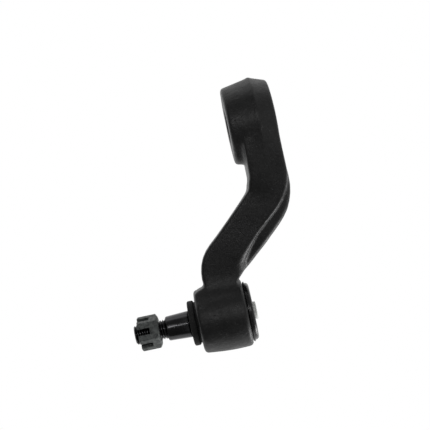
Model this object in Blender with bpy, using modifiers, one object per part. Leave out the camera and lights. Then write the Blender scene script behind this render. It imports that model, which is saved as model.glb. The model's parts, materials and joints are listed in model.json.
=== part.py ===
"""Idler arm of a truck's steering linkage: a forged arm with a serrated eye at one end and a ball joint at the other.

The origin is on the eye's bore axis, in the plane of the eye's lower face. +X runs from the eye to the
ball joint, and +Z along the bore, the way the ball stud points. Blender's unit is the metre.
"""

import math

import bmesh
import bpy
from mathutils import Matrix, Vector

mm = 0.001

# Fits
TOUCH = 0.3 * mm
WELD = 0.00001

# Eye of the arm
EYE_HEIGHT = 39.0 * mm
EYE_RIDGE_RADIUS = 36.3 * mm
EYE_RIDGE_HEIGHT = 14.6 * mm
EYE_TOP_DRAFT = math.radians(9.4)
EYE_BOTTOM_DRAFT = math.radians(15.6)
EYE_CORNER = 2.8 * mm
FLASH_RISE = 0.4 * mm
FLASH_WIDTH = 1.0 * mm
FLASH_ROOT_WIDTH = 3.6 * mm

# Serrated taper in the eye
BORE_SMALL_RADIUS = 13.2 * mm
BORE_TAPER = 1 / 12
BORE_TEETH = 36
TOOTH_DEPTH = 1.0 * mm
BORE_CHAMFER = 1.4 * mm

# Centre line of the arm: level, up along a slope, level
AXIS_DISTANCE = 153.2 * mm
EYE_LEVEL = 15.0 * mm
HOUSING_LEVEL = 71.0 * mm
BEND_1_X = 57.4 * mm
BEND_1_RADIUS = 29.6 * mm
BEND_2_X = 106.7 * mm
BEND_2_RADIUS = 30.0 * mm
ARM_START_X = 8.0 * mm
SECTION_SPACING = 4.0 * mm
FLARE_SPACING = 1.2 * mm

# Section of the arm, a thick bar with a keel below it
BAR_ABOVE = 12.3 * mm
BAR_BELOW = 12.3 * mm
BAR_HALF_WIDTH = 15.0 * mm
BAR_KEEL = 11.2 * mm
UPPER_CORNER = 2.4 * mm
LOWER_CORNER = 7.0 * mm
KEEL_WIDTH_SHARE = 0.78
KEEL_CORNER = 4.2 * mm
KEEL_DRAFT = 0.5 * mm
KEEL_DEPTH = 23.5 * mm
KEEL_END_TILT = math.radians(4)
WALL_DRAFT = 3.5 * mm

# Housing of the ball joint
HOUSING_TOP = 95.5 * mm
HOUSING_BOTTOM = 54.8 * mm
HOUSING_TOP_RADIUS = 26.1 * mm
HOUSING_BELLY_RADIUS = 28.2 * mm
HOUSING_BELLY_LEVEL = 66.0 * mm
HOUSING_FOOT_RADIUS = 27.9 * mm
HOUSING_CORNER = 3.0 * mm
HOUSING_FOOT_CORNER = 2.8 * mm
HOUSING_FILLET = 16.0 * mm
BAR_END_INSET = 0.9 * mm
LIP_RADIUS = 25.1 * mm
LIP_FOOT_RADIUS = 23.9 * mm
LIP_HEIGHT = 5.4 * mm
LIP_CORNER = 2.8 * mm
LIP_THICKNESS = 1.6 * mm
LIP_MOUTH_RADIUS = 20.0 * mm
LIP_GROOVE = 0.6 * mm

# Ball joint
BALL_LEVEL = 75.5 * mm
BALL_RADIUS = 16.0 * mm
BALL_FOOT = 14.5 * mm
BEARING_HEIGHT = 10.3 * mm
SOCKET_BORE_RADIUS = 19.0 * mm
SOCKET_STEP = 1.0 * mm
MOUTH_INNER_RADIUS = 12.6 * mm
MOUTH_OUTER_RADIUS = 15.2 * mm
SEAT_FOOT = 17.3 * mm
SEAT_HOLE_RADIUS = 6.5 * mm
SPRING_THICKNESS = 1.5 * mm
SPRING_INNER_RADIUS = 8.0 * mm
SPRING_OUTER_RADIUS = 17.6 * mm
COVER_THICKNESS = 3.0 * mm
COVER_RADIUS = 21.7 * mm
COVER_FLAT_RADIUS = 15.5 * mm
COVER_DOME = 1.7 * mm
GREASE_HOLE_RADIUS = 3.4 * mm
PLUG_RADIUS = 7.35 * mm
PLUG_HEAD = 2.6 * mm
PLUG_STEM = 5.6 * mm
PLUG_CORNER = 0.7 * mm

# Ball stud
NECK_RADIUS = 9.2 * mm
NECK_RISE = 1.3 * mm
NECK_TOP = HOUSING_TOP + NECK_RISE
TAPER_RISE = 5.0 * mm
TAPER_START = HOUSING_TOP + TAPER_RISE
TAPER_END = 121.8 * mm
TAPER_END_RADIUS = 10.15 * mm
TAPER_SLOPE = 1 / 20
TAPER_CORNER = 1.2 * mm
THREAD_RADIUS = 8.0 * mm
THREAD_START = 124.0 * mm
STUD_TIP = 149.4 * mm
TIP_CHAMFER = 0.9 * mm
COTTER_HOLE_RADIUS = 2.0 * mm
COTTER_HOLE_DEPTH_IN_SLOT = 5.6 * mm

# Castle nut
NUT_SEAT = 128.7 * mm
NUT_HEIGHT = 17.3 * mm
NUT_FLATS = 25.0 * mm
NUT_SLOT_WIDTH = 5.2 * mm
NUT_SLOT_DEPTH = 10.1 * mm
NUT_SEAT_RADIUS = 11.6 * mm
NUT_TOP_RADIUS = 12.8 * mm
NUT_CHAMFER = math.radians(30)
NUT_THREAD_CHAMFER = 1.0 * mm
NUT_TURN = math.radians(13)

# Dust seal
SEAL_RADIUS = 18.7 * mm
SEAL_FOOT_RADIUS = 17.2 * mm
SEAL_FOOT_HEIGHT = 1.2 * mm
SEAL_HEIGHT = 7.0 * mm
SEAL_TOP = HOUSING_TOP + SEAL_HEIGHT
SEAL_WALL = 1.7 * mm
SEAL_ROUND = 1.6 * mm
SEAL_UNDERCUT_TURN = 75

ROUND_STEPS = 56
SMALL_STEPS = 40

IRON = (0.012, 0.012, 0.013)
STEEL = (0.28, 0.28, 0.29)
SINTERED = (0.20, 0.16, 0.11)
PHOSPHATE = (0.062, 0.068, 0.065)
RUBBER = (0.010, 0.010, 0.011)
PLASTIC = (0.56, 0.58, 0.55)


def make_collection(name):
    collection = bpy.data.collections.new(name)
    bpy.context.scene.collection.children.link(collection)
    return collection


def make_material(name, colour, roughness, metallic):
    material = bpy.data.materials.new(name)
    material.use_nodes = True
    shader = material.node_tree.nodes["Principled BSDF"]
    shader.inputs["Base Color"].default_value = (*colour, 1.0)
    shader.inputs["Roughness"].default_value = roughness
    shader.inputs["Metallic"].default_value = metallic
    return material


def add_object(name, mesh, collection, location=(0, 0, 0)):
    made = bpy.data.objects.new(name, mesh)
    made.location = location
    collection.objects.link(made)
    return made


def mesh_from(name, bm):
    mesh = bpy.data.meshes.new(name)
    bm.to_mesh(mesh)
    bm.free()
    return mesh


def arc(centre, radius, start, end, count):
    """Points (radius from the axis, height) on an arc of a profile, from one angle to another, in degrees."""
    points = []
    for i in range(count + 1):
        angle = math.radians(start + (end - start) * i / count)
        points.append((centre[0] + radius * math.cos(angle), centre[1] + radius * math.sin(angle)))
    return points


def turned(name, profile, collection, location, steps=ROUND_STEPS, closed=False):
    """A turned piece. Its profile runs down the outer side; a ring's profile comes back up its bore."""
    bm = bmesh.new()
    corners = [bm.verts.new((radius, 0, height)) for radius, height in profile]
    for one, other in zip(corners, corners[1:]):
        bm.edges.new((one, other))
    if closed:
        bm.edges.new((corners[-1], corners[0]))
    made = add_object(name, mesh_from(name, bm), collection, location)
    screw = made.modifiers.new("turn", "SCREW")
    screw.axis = "Z"
    screw.angle = math.tau
    screw.steps = steps
    screw.render_steps = steps
    screw.use_smooth_shade = True
    screw.use_merge_vertices = True
    screw.merge_threshold = WELD
    return made


def as_cutter(cutter):
    cutter.hide_render = True
    cutter.display_type = "WIRE"
    return cutter


def combine(target, other, operation):
    as_cutter(other)
    step = target.modifiers.new(other.name, "BOOLEAN")
    step.operation = operation
    step.solver = "EXACT"
    step.object = other


def set_material(made, material):
    made.data.materials.append(material)


# Centre line and sections of the arm


class CentreLine:
    """Level from the eye, an arc, a straight slope, a second arc, and level again to the housing."""

    def __init__(self):
        rise = HOUSING_LEVEL - EYE_LEVEL
        run = BEND_2_X - BEND_1_X
        self.slope = math.atan2(rise, run)
        half_tangent = math.tan(self.slope / 2)
        self.tangent_1 = BEND_1_RADIUS * half_tangent
        self.tangent_2 = BEND_2_RADIUS * half_tangent
        self.bend_1_start = BEND_1_X - self.tangent_1 - ARM_START_X
        self.bend_1_end = self.bend_1_start + BEND_1_RADIUS * self.slope
        diagonal = math.hypot(run, rise) - self.tangent_1 - self.tangent_2
        self.bend_2_start = self.bend_1_end + diagonal
        self.bend_2_end = self.bend_2_start + BEND_2_RADIUS * self.slope

    def keel_line(self, distance):
        """How far below the line its keel's straight edge lies, from the slope to where it meets the housing."""
        if distance <= self.bend_2_start:
            return KEEL_DEPTH
        swept = min((distance - self.bend_2_start) / BEND_2_RADIUS, self.slope)
        past_bend = max(distance - self.bend_2_end, 0.0)
        from_centre = (BEND_2_RADIUS - KEEL_DEPTH) * math.cos(KEEL_END_TILT)
        in_bend = BEND_2_RADIUS - from_centre / math.cos(swept + KEEL_END_TILT)
        return in_bend - past_bend * math.tan(self.slope + KEEL_END_TILT)

    def distance_at_x(self, x):
        """Distance along the line of a place on its last level stretch."""
        return self.bend_2_end + x - BEND_2_X - self.tangent_2

    def at(self, distance):
        """The place (x, z) at a distance from the line's start, and the line's angle there."""
        if distance <= self.bend_1_start:
            return (ARM_START_X + distance, EYE_LEVEL), 0.0
        if distance <= self.bend_1_end:
            angle = (distance - self.bend_1_start) / BEND_1_RADIUS
            x = ARM_START_X + self.bend_1_start + BEND_1_RADIUS * math.sin(angle)
            return (x, EYE_LEVEL + BEND_1_RADIUS * (1 - math.cos(angle))), angle
        if distance <= self.bend_2_start:
            past = distance - self.bend_1_end + self.tangent_1
            return (BEND_1_X + past * math.cos(self.slope), EYE_LEVEL + past * math.sin(self.slope)), self.slope
        if distance <= self.bend_2_end:
            angle = (self.bend_2_end - distance) / BEND_2_RADIUS
            x = BEND_2_X + self.tangent_2 - BEND_2_RADIUS * math.sin(angle)
            return (x, HOUSING_LEVEL - BEND_2_RADIUS * (1 - math.cos(angle))), angle
        return (BEND_2_X + self.tangent_2 + distance - self.bend_2_end, HOUSING_LEVEL), 0.0


def housing_radius_at(height):
    """The housing's wall, a barrel that draws in above and below its belly."""
    if height > HOUSING_BELLY_LEVEL:
        share = (height - HOUSING_BELLY_LEVEL) / (HOUSING_TOP - HOUSING_BELLY_LEVEL)
        return HOUSING_BELLY_RADIUS - (HOUSING_BELLY_RADIUS - HOUSING_TOP_RADIUS) * share ** 2
    share = (HOUSING_BELLY_LEVEL - height) / (HOUSING_BELLY_LEVEL - HOUSING_BOTTOM)
    return HOUSING_BELLY_RADIUS - (HOUSING_BELLY_RADIUS - HOUSING_FOOT_RADIUS) * share ** 2


def fillet_half_width(from_axis):
    """Half the bar's width in plan where it flares into the round housing, at a distance from the ball's axis."""
    wall = housing_radius_at(HOUSING_LEVEL)
    centre_width = BAR_HALF_WIDTH + HOUSING_FILLET
    centre_distance = math.sqrt((wall + HOUSING_FILLET) ** 2 - centre_width ** 2)
    if from_axis > centre_distance:
        return BAR_HALF_WIDTH
    if from_axis > centre_distance * wall / (wall + HOUSING_FILLET):
        return centre_width - math.sqrt(HOUSING_FILLET ** 2 - (centre_distance - from_axis) ** 2)
    return math.sqrt(wall ** 2 - from_axis ** 2) - BAR_END_INSET


def arm_stations(line):
    """The arm's section at its stations, from the eye to the housing.

    Each row gives the distance and then shares of the bar's own sizes: metal above and below the line, keel,
    half width, lower corner, and how far the walls draw in above and below the eye's ridge.
    """
    wall = housing_radius_at(HOUSING_LEVEL)
    eye_side = line.bend_1_start * 0.4
    middle_1 = (line.bend_1_start + line.bend_1_end) / 2
    middle_2 = (line.bend_2_start + line.bend_2_end) / 2
    slope_length = line.bend_2_start - line.bend_1_end
    half_way = line.bend_1_end + slope_length * 0.5
    facet_start = line.bend_1_end + slope_length * 0.75
    rows = [
        (0.0, 1.24, 1.19, 0.0, 2.34, 0.43, 1.0),
        (eye_side, 1.27, 1.19, 0.0, 2.14, 0.43, 0.35),
        (line.bend_1_start, 1.29, 1.22, 0.06, 1.84, 0.38, 0.0),
        (middle_1, 1.33, 1.15, 0.44, 1.67, 0.30, 0.0),
        (line.bend_1_end, 1.16, 1.09, 0.80, 1.51, 0.30, 0.0),
        (half_way, 1.05, 1.10, 0.89, 1.31, 0.34, 0.0),
        (facet_start, 1.02, 1.25, 0.73, 1.24, 0.62, 0.0),
        (line.bend_2_start, 1.00, 1.49, 0.46, 1.17, 1.04, 0.0),
        (middle_2, 1.18, 1.71, 0.15, 1.07, 1.30, 0.0),
        (line.bend_2_end, 1.19, 1.56, 0.02, 1.0, 0.82, 0.0),
    ]
    sizes = (BAR_ABOVE, BAR_BELOW, BAR_KEEL, BAR_HALF_WIDTH, LOWER_CORNER, WALL_DRAFT)
    stations = [(row[0], *(share * size for share, size in zip(row[1:], sizes))) for row in rows]

    to_top = (HOUSING_TOP - HOUSING_LEVEL - BAR_END_INSET) / BAR_ABOVE
    flare = [(-0.10, 1.14, 1.29, 0.40), (0.0, 1.19, 1.13, 0.30), (0.07, 1.42, 1.05, 0.30), (0.13, 1.70, 1.02, 0.30)]
    flare += [(0.32, to_top, 1.02, 0.30), (0.55, to_top, 1.02, 0.30), (0.90, to_top, 1.02, 0.30)]
    for past, above, below, corner in flare:
        past_wall = past * HOUSING_FILLET
        distance = line.distance_at_x(AXIS_DISTANCE - wall + past_wall)
        width = fillet_half_width(wall - past_wall)
        row = (distance, above * BAR_ABOVE, below * BAR_BELOW, 0.0, width, corner * LOWER_CORNER, 0.0)
        stations.append(row)
    return stations


def smooth_value(stations, column, distance):
    """A value between stations, on a smooth curve that never swings past the two beside it."""
    last = len(stations) - 1
    index = max(i for i in range(last) if stations[i][0] <= distance + WELD)
    slopes = []
    for i in (index, index + 1):
        before, after = max(i - 1, 0), min(i + 1, last)
        rise_in = stations[i][column] - stations[before][column]
        rise_out = stations[after][column] - stations[i][column]
        level = rise_in * rise_out <= 0
        spread = stations[after][0] - stations[before][0]
        slopes.append(0.0 if level else (rise_in + rise_out) / spread)
    start, end = stations[index], stations[index + 1]
    span = end[0] - start[0]
    t = min(max((distance - start[0]) / span, 0.0), 1.0)
    hermite = ((2 * t ** 3 - 3 * t ** 2 + 1, t ** 3 - 2 * t ** 2 + t), (3 * t ** 2 - 2 * t ** 3, t ** 3 - t ** 2))
    value = hermite[0][0] * start[column] + hermite[0][1] * span * slopes[0]
    return value + hermite[1][0] * end[column] + hermite[1][1] * span * slopes[1]


def half_section(above, below, keel, half_width, corner, draft):
    """Half of the arm's section, (width, height) from the keel's middle round to the top's middle."""
    wall = half_width - draft
    flat_end = wall - corner
    keel_half = flat_end * KEEL_WIDTH_SHARE
    corner_rise = min(KEEL_CORNER, keel * 0.9)
    points = [(0.0, -below - keel)]
    for across, rise in arc((0.0, 0.0), 1.0, -90, 0, 4):
        points.append((keel_half + (across - 1) * KEEL_CORNER, -below - keel + (rise + 1) * corner_rise))
    points.append((keel_half + KEEL_DRAFT, -below))
    points += arc((flat_end, corner - below), corner, -90, 0, 4)
    points.append((half_width, EYE_RIDGE_HEIGHT - EYE_LEVEL))
    points += arc((wall - UPPER_CORNER, above - UPPER_CORNER), UPPER_CORNER, 0, 90, 3)
    points.append((0.0, above))
    return points


def spaced(start, end, spacing):
    """Distances from start towards end, evenly spaced, without the end itself."""
    count = max(round((end - start) / spacing), 1)
    return [start + (end - start) * i / count for i in range(count)]


def arm_bar(name, collection):
    """The arm between eye and housing, a loft of sections square to its centre line."""
    line = CentreLine()
    stations = arm_stations(line)
    length = stations[-1][0]
    flare_start, flare_end = stations[-7][0], stations[-3][0]
    distances = spaced(0.0, flare_start, SECTION_SPACING)
    distances += spaced(flare_start, flare_end, FLARE_SPACING)
    distances += spaced(flare_end, length, SECTION_SPACING) + [length]
    bm = bmesh.new()
    rings = []
    for distance in distances:
        (x, z), angle = line.at(distance)
        above, below, keel, half_width, corner, draft = (
            smooth_value(stations, column, distance) for column in range(1, len(stations[0]))
        )
        below = min(below, line.keel_line(distance)) if distance < flare_start else below
        keel = max(min(keel, line.keel_line(distance) - below), 0.0)
        half = half_section(above, below, keel, half_width, corner, draft)
        outline = half + [(-width, height) for width, height in reversed(half[1:-1])]
        up = Vector((-math.sin(angle), 0, math.cos(angle)))
        rings.append([bm.verts.new(Vector((x, width, z)) + up * height) for width, height in outline])
    for one, other in zip(rings, rings[1:]):
        for i, start in enumerate(one):
            j = (i + 1) % len(one)
            bm.faces.new((start, other[i], other[j], one[j]))
    bm.faces.new(rings[0])
    bm.faces.new(reversed(rings[-1]))
    bmesh.ops.recalc_face_normals(bm, faces=bm.faces)
    mesh = mesh_from(name, bm)
    mesh.shade_smooth()
    mesh.set_sharp_from_angle(angle=math.radians(50))
    return add_object(name, mesh, collection)


def eye_blank(collection):
    top_radius = EYE_RIDGE_RADIUS - (EYE_HEIGHT - EYE_RIDGE_HEIGHT) * math.tan(EYE_TOP_DRAFT)
    foot_radius = EYE_RIDGE_RADIUS - EYE_RIDGE_HEIGHT * math.tan(EYE_BOTTOM_DRAFT)
    profile = [(0.0, EYE_HEIGHT)]
    top_tilt = math.degrees(EYE_TOP_DRAFT)
    foot_tilt = math.degrees(EYE_BOTTOM_DRAFT)
    profile += arc((top_radius - EYE_CORNER, EYE_HEIGHT - EYE_CORNER), EYE_CORNER, 90, top_tilt, 4)
    root, crest = FLASH_ROOT_WIDTH / 2, FLASH_WIDTH / 2
    profile.append((EYE_RIDGE_RADIUS - root * math.tan(EYE_TOP_DRAFT), EYE_RIDGE_HEIGHT + root))
    profile.append((EYE_RIDGE_RADIUS + FLASH_RISE, EYE_RIDGE_HEIGHT + crest))
    profile.append((EYE_RIDGE_RADIUS + FLASH_RISE, EYE_RIDGE_HEIGHT - crest))
    profile.append((EYE_RIDGE_RADIUS - root * math.tan(EYE_BOTTOM_DRAFT), EYE_RIDGE_HEIGHT - root))
    profile += arc((foot_radius - EYE_CORNER, EYE_CORNER), EYE_CORNER, -foot_tilt, -90, 4)
    profile.append((0.0, 0.0))
    return turned("eye_blank", profile, collection, (0, 0, 0))


def serrated_cutter(collection):
    """A tapered core whose every other corner is drawn in, which leaves the teeth of the eye."""
    overrun = 2.0 * mm
    bm = bmesh.new()
    growth = BORE_TAPER / 2
    top = EYE_HEIGHT + overrun
    small = BORE_SMALL_RADIUS - overrun * growth
    large = BORE_SMALL_RADIUS + (EYE_HEIGHT + overrun) * growth
    bmesh.ops.create_cone(
        bm, cap_ends=True, segments=2 * BORE_TEETH, radius1=large, radius2=small, depth=top + overrun
    )
    for corner in bm.verts:
        turn = math.atan2(corner.co.y, corner.co.x) / (math.tau / (2 * BORE_TEETH))
        if round(turn) % 2:
            radius = math.hypot(corner.co.x, corner.co.y)
            corner.co.xy = corner.co.xy * ((radius - TOOTH_DEPTH) / radius)
    middle = (top - overrun) / 2
    return add_object("serrated_cutter", mesh_from("serrated_cutter", bm), collection, (0, 0, middle))


def chamfer_cutter(name, radius, height, upward, collection):
    """A cone that breaks the edge of the eye's bore at one of its faces."""
    reach = BORE_CHAMFER + TOOTH_DEPTH
    beyond = 2.0 * mm
    if upward:
        profile = [(0.0, height + beyond), (radius + BORE_CHAMFER + beyond, height + beyond)]
        profile += [(radius - TOOTH_DEPTH, height - reach), (0.0, height - reach)]
    else:
        profile = [(0.0, height + reach), (radius - TOOTH_DEPTH, height + reach)]
        profile += [(radius + BORE_CHAMFER + beyond, height - beyond), (0.0, height - beyond)]
    return turned(name, profile, collection, (0, 0, 0))


def housing_blank(collection):
    lip_bottom = HOUSING_BOTTOM - LIP_HEIGHT
    shoulder, heel = HOUSING_TOP - HOUSING_CORNER, HOUSING_BOTTOM + HOUSING_FOOT_CORNER
    profile = [(0.0, HOUSING_TOP)]
    profile += arc((housing_radius_at(shoulder) - HOUSING_CORNER, shoulder), HOUSING_CORNER, 90, 0, 4)
    wall_steps = 6
    for i in range(1, wall_steps):
        height = shoulder + (heel - shoulder) * i / wall_steps
        profile.append((housing_radius_at(height), height))
    foot = (housing_radius_at(heel) - HOUSING_FOOT_CORNER, heel)
    profile += arc(foot, HOUSING_FOOT_CORNER, 0, -90, 4)
    profile.append((LIP_RADIUS - LIP_GROOVE, HOUSING_BOTTOM))
    profile.append((LIP_RADIUS, HOUSING_BOTTOM - LIP_GROOVE))
    profile += arc((LIP_FOOT_RADIUS - LIP_CORNER, lip_bottom + LIP_CORNER), LIP_CORNER, 0, -90, 4)
    profile.append((0.0, lip_bottom))
    return turned("housing_blank", profile, collection, (AXIS_DISTANCE, 0, 0))


def socket_cutter(collection):
    """What is bored out of the housing: mouth, spherical seat, bore, cover recess and the lip's mouth."""
    beyond = 2.0 * mm
    lip_bottom = HOUSING_BOTTOM - LIP_HEIGHT
    seat_radius = BALL_RADIUS + TOUCH
    mouth_angle = math.degrees(math.acos(MOUTH_INNER_RADIUS / seat_radius))
    widening = (MOUTH_OUTER_RADIUS - MOUTH_INNER_RADIUS) / (
        HOUSING_TOP - BALL_LEVEL - seat_radius * math.sin(math.radians(mouth_angle))
    )
    profile = [(0.0, HOUSING_TOP + beyond), (MOUTH_OUTER_RADIUS + widening * beyond, HOUSING_TOP + beyond)]
    profile += arc((0.0, BALL_LEVEL), seat_radius, mouth_angle, 0, 8)
    step = BALL_LEVEL - SOCKET_STEP
    profile += [(seat_radius, step), (SOCKET_BORE_RADIUS, step)]
    recess = cover_top() + TOUCH
    profile += [(SOCKET_BORE_RADIUS, recess), (COVER_RADIUS + TOUCH, recess)]
    profile += [(COVER_RADIUS + TOUCH, lip_bottom + LIP_THICKNESS)]
    profile += [(LIP_MOUTH_RADIUS, lip_bottom + LIP_THICKNESS), (LIP_MOUTH_RADIUS, lip_bottom - beyond)]
    profile.append((0.0, lip_bottom - beyond))
    return turned("socket_cutter", profile, collection, (AXIS_DISTANCE, 0, 0))


def cover_bottom():
    return HOUSING_BOTTOM - LIP_HEIGHT + LIP_THICKNESS + TOUCH


def cover_top():
    return cover_bottom() + COVER_THICKNESS


def arm_forging(parts, cutters, material):
    arm = arm_bar("arm_forging", parts)
    set_material(arm, material)
    combine(arm, eye_blank(cutters), "UNION")
    combine(arm, housing_blank(cutters), "UNION")
    combine(arm, serrated_cutter(cutters), "DIFFERENCE")
    large = BORE_SMALL_RADIUS + EYE_HEIGHT * BORE_TAPER / 2
    combine(arm, chamfer_cutter("chamfer_top", BORE_SMALL_RADIUS, EYE_HEIGHT, True, cutters), "DIFFERENCE")
    combine(arm, chamfer_cutter("chamfer_bottom", large, 0.0, False, cutters), "DIFFERENCE")
    combine(arm, socket_cutter(cutters), "DIFFERENCE")
    return arm


# Pieces of the ball joint, placed from the ball's centre


def turned_on_ball(name, profile, parts, centre, material, steps=SMALL_STEPS, closed=False):
    """A turned piece whose profile gives heights in the arm's frame and whose origin is the ball's centre."""
    lowered = [(radius, height - BALL_LEVEL) for radius, height in profile]
    made = turned(name, lowered, parts, (0, 0, 0), steps, closed)
    made.parent = centre
    set_material(made, material)
    return made


def ball_stud(parts, cutters, centre, material):
    profile = [(0.0, STUD_TIP), (THREAD_RADIUS - TIP_CHAMFER, STUD_TIP), (THREAD_RADIUS, STUD_TIP - TIP_CHAMFER)]
    profile.append((THREAD_RADIUS, THREAD_START))
    profile.append((TAPER_END_RADIUS - TAPER_CORNER, TAPER_END + TAPER_CORNER))
    profile.append((TAPER_END_RADIUS, TAPER_END))
    profile.append((TAPER_END_RADIUS + (TAPER_END - TAPER_START) * TAPER_SLOPE, TAPER_START))
    profile.append((NECK_RADIUS, NECK_TOP))
    head_top = BALL_LEVEL - TOUCH / 2
    profile.append((NECK_RADIUS, head_top))
    start = -math.degrees(math.asin(TOUCH / 2 / BALL_RADIUS))
    end = -math.degrees(math.asin(BALL_FOOT / BALL_RADIUS))
    profile += arc((0.0, BALL_LEVEL), BALL_RADIUS, start, end, 9)
    profile.append((0.0, BALL_LEVEL - BALL_FOOT))
    stud = turned_on_ball("ball_stud", profile, parts, centre, material)
    hole_level = NUT_SEAT + NUT_HEIGHT - NUT_SLOT_DEPTH + COTTER_HOLE_DEPTH_IN_SLOT / 2
    bpy.ops.mesh.primitive_cylinder_add(vertices=20, radius=COTTER_HOLE_RADIUS, depth=4 * THREAD_RADIUS)
    hole = bpy.context.object
    hole.name = "cotter_hole_cutter"
    hole.location = (AXIS_DISTANCE, 0, hole_level)
    hole.rotation_euler = (math.radians(90), 0, NUT_TURN - math.radians(60))
    for owner in hole.users_collection:
        owner.objects.unlink(hole)
    cutters.objects.link(hole)
    combine(stud, hole, "DIFFERENCE")
    return stud


def half_ball_bearing(parts, centre, material):
    bore = NECK_RADIUS + TOUCH
    foot = BALL_LEVEL + TOUCH / 2
    end = math.degrees(math.asin(TOUCH / 2 / BALL_RADIUS))
    start = math.degrees(math.asin(BEARING_HEIGHT / BALL_RADIUS))
    profile = arc((0.0, BALL_LEVEL), BALL_RADIUS, start, end, 7)
    profile += [(bore, foot), (bore, BALL_LEVEL + BEARING_HEIGHT)]
    return turned_on_ball("half_ball_bearing", profile, parts, centre, material, closed=True)


def pressure_seat(parts, centre, material):
    """The cup under the ball: its bore carries the ball, and its rim stands just below the housing's step."""
    outer = SOCKET_BORE_RADIUS - TOUCH
    rim = BALL_LEVEL - SOCKET_STEP - TOUCH
    foot = BALL_LEVEL - SEAT_FOOT
    hollow = BALL_RADIUS + TOUCH
    start = -math.degrees(math.acos(SEAT_HOLE_RADIUS / hollow))
    end = -math.degrees(math.asin((BALL_LEVEL - rim) / hollow))
    profile = [(outer, rim), (outer, foot), (SEAT_HOLE_RADIUS, foot)]
    profile += arc((0.0, BALL_LEVEL), hollow, start, end, 8)
    return turned_on_ball("pressure_seat", profile, parts, centre, material, closed=True)


def preload_spring(parts, centre, material):
    """A conical spring washer between the cover's rim and the seat."""
    top = BALL_LEVEL - SEAT_FOOT - TOUCH
    foot = cover_top() + TOUCH
    profile = [(SPRING_INNER_RADIUS, top), (SPRING_OUTER_RADIUS, foot + SPRING_THICKNESS)]
    profile += [(SPRING_OUTER_RADIUS, foot), (SPRING_INNER_RADIUS, top - SPRING_THICKNESS)]
    return turned_on_ball("preload_spring", profile, parts, centre, material, closed=True)


def cover_plate(parts, centre, material):
    """A pressed plate, flat at its rim and dished outward in the middle, held by the rolled lip."""
    bottom, top = cover_bottom(), cover_top()
    inner_flat = COVER_FLAT_RADIUS - 2 * COVER_DOME
    profile = [(COVER_RADIUS, top), (COVER_RADIUS, bottom), (COVER_FLAT_RADIUS, bottom)]
    profile += [(inner_flat, bottom - COVER_DOME), (GREASE_HOLE_RADIUS, bottom - COVER_DOME)]
    profile += [(GREASE_HOLE_RADIUS, top - COVER_DOME), (inner_flat, top - COVER_DOME), (COVER_FLAT_RADIUS, top)]
    return turned_on_ball("cover_plate", profile, parts, centre, material, closed=True)


def grease_hole_plug(parts, centre, material):
    """A push-in plug in the cover's hole for a grease fitting."""
    seat = cover_bottom() - COVER_DOME - TOUCH
    stem = GREASE_HOLE_RADIUS - TOUCH
    profile = [(0.0, seat + PLUG_STEM), (stem - PLUG_CORNER, seat + PLUG_STEM)]
    profile += [(stem, seat + PLUG_STEM - PLUG_CORNER), (stem, seat), (PLUG_RADIUS, seat)]
    profile += arc((PLUG_RADIUS - PLUG_CORNER, seat - PLUG_HEAD + PLUG_CORNER), PLUG_CORNER, 0, -90, 3)
    profile.append((0.0, seat - PLUG_HEAD))
    return turned_on_ball("grease_hole_plug", profile, parts, centre, material)


def dust_seal(parts, centre, material):
    """A rubber collar that stands on the housing round its mouth and closes on the stud."""
    foot = HOUSING_TOP + TOUCH
    shoulder = foot + SEAL_FOOT_HEIGHT
    stud_radius = TAPER_END_RADIUS + (TAPER_END - SEAL_TOP) * TAPER_SLOPE
    lip = stud_radius + 2 * TOUCH
    profile = [(lip, SEAL_TOP)]
    profile += arc((SEAL_RADIUS - SEAL_ROUND, SEAL_TOP - SEAL_ROUND), SEAL_ROUND, 90, 0, 3)
    profile += arc((SEAL_RADIUS - SEAL_ROUND, shoulder + SEAL_ROUND), SEAL_ROUND, 0, -SEAL_UNDERCUT_TURN, 3)
    profile += [(SEAL_FOOT_RADIUS, shoulder), (SEAL_FOOT_RADIUS, foot), (SEAL_FOOT_RADIUS - SEAL_WALL, foot)]
    profile += [(SEAL_FOOT_RADIUS - SEAL_WALL, SEAL_TOP - 2 * SEAL_WALL)]
    profile += [(SEAL_FOOT_RADIUS - 2 * SEAL_WALL, SEAL_TOP - SEAL_WALL), (lip, SEAL_TOP - SEAL_WALL)]
    return turned_on_ball("dust_seal", profile, parts, centre, material, closed=True)


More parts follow.
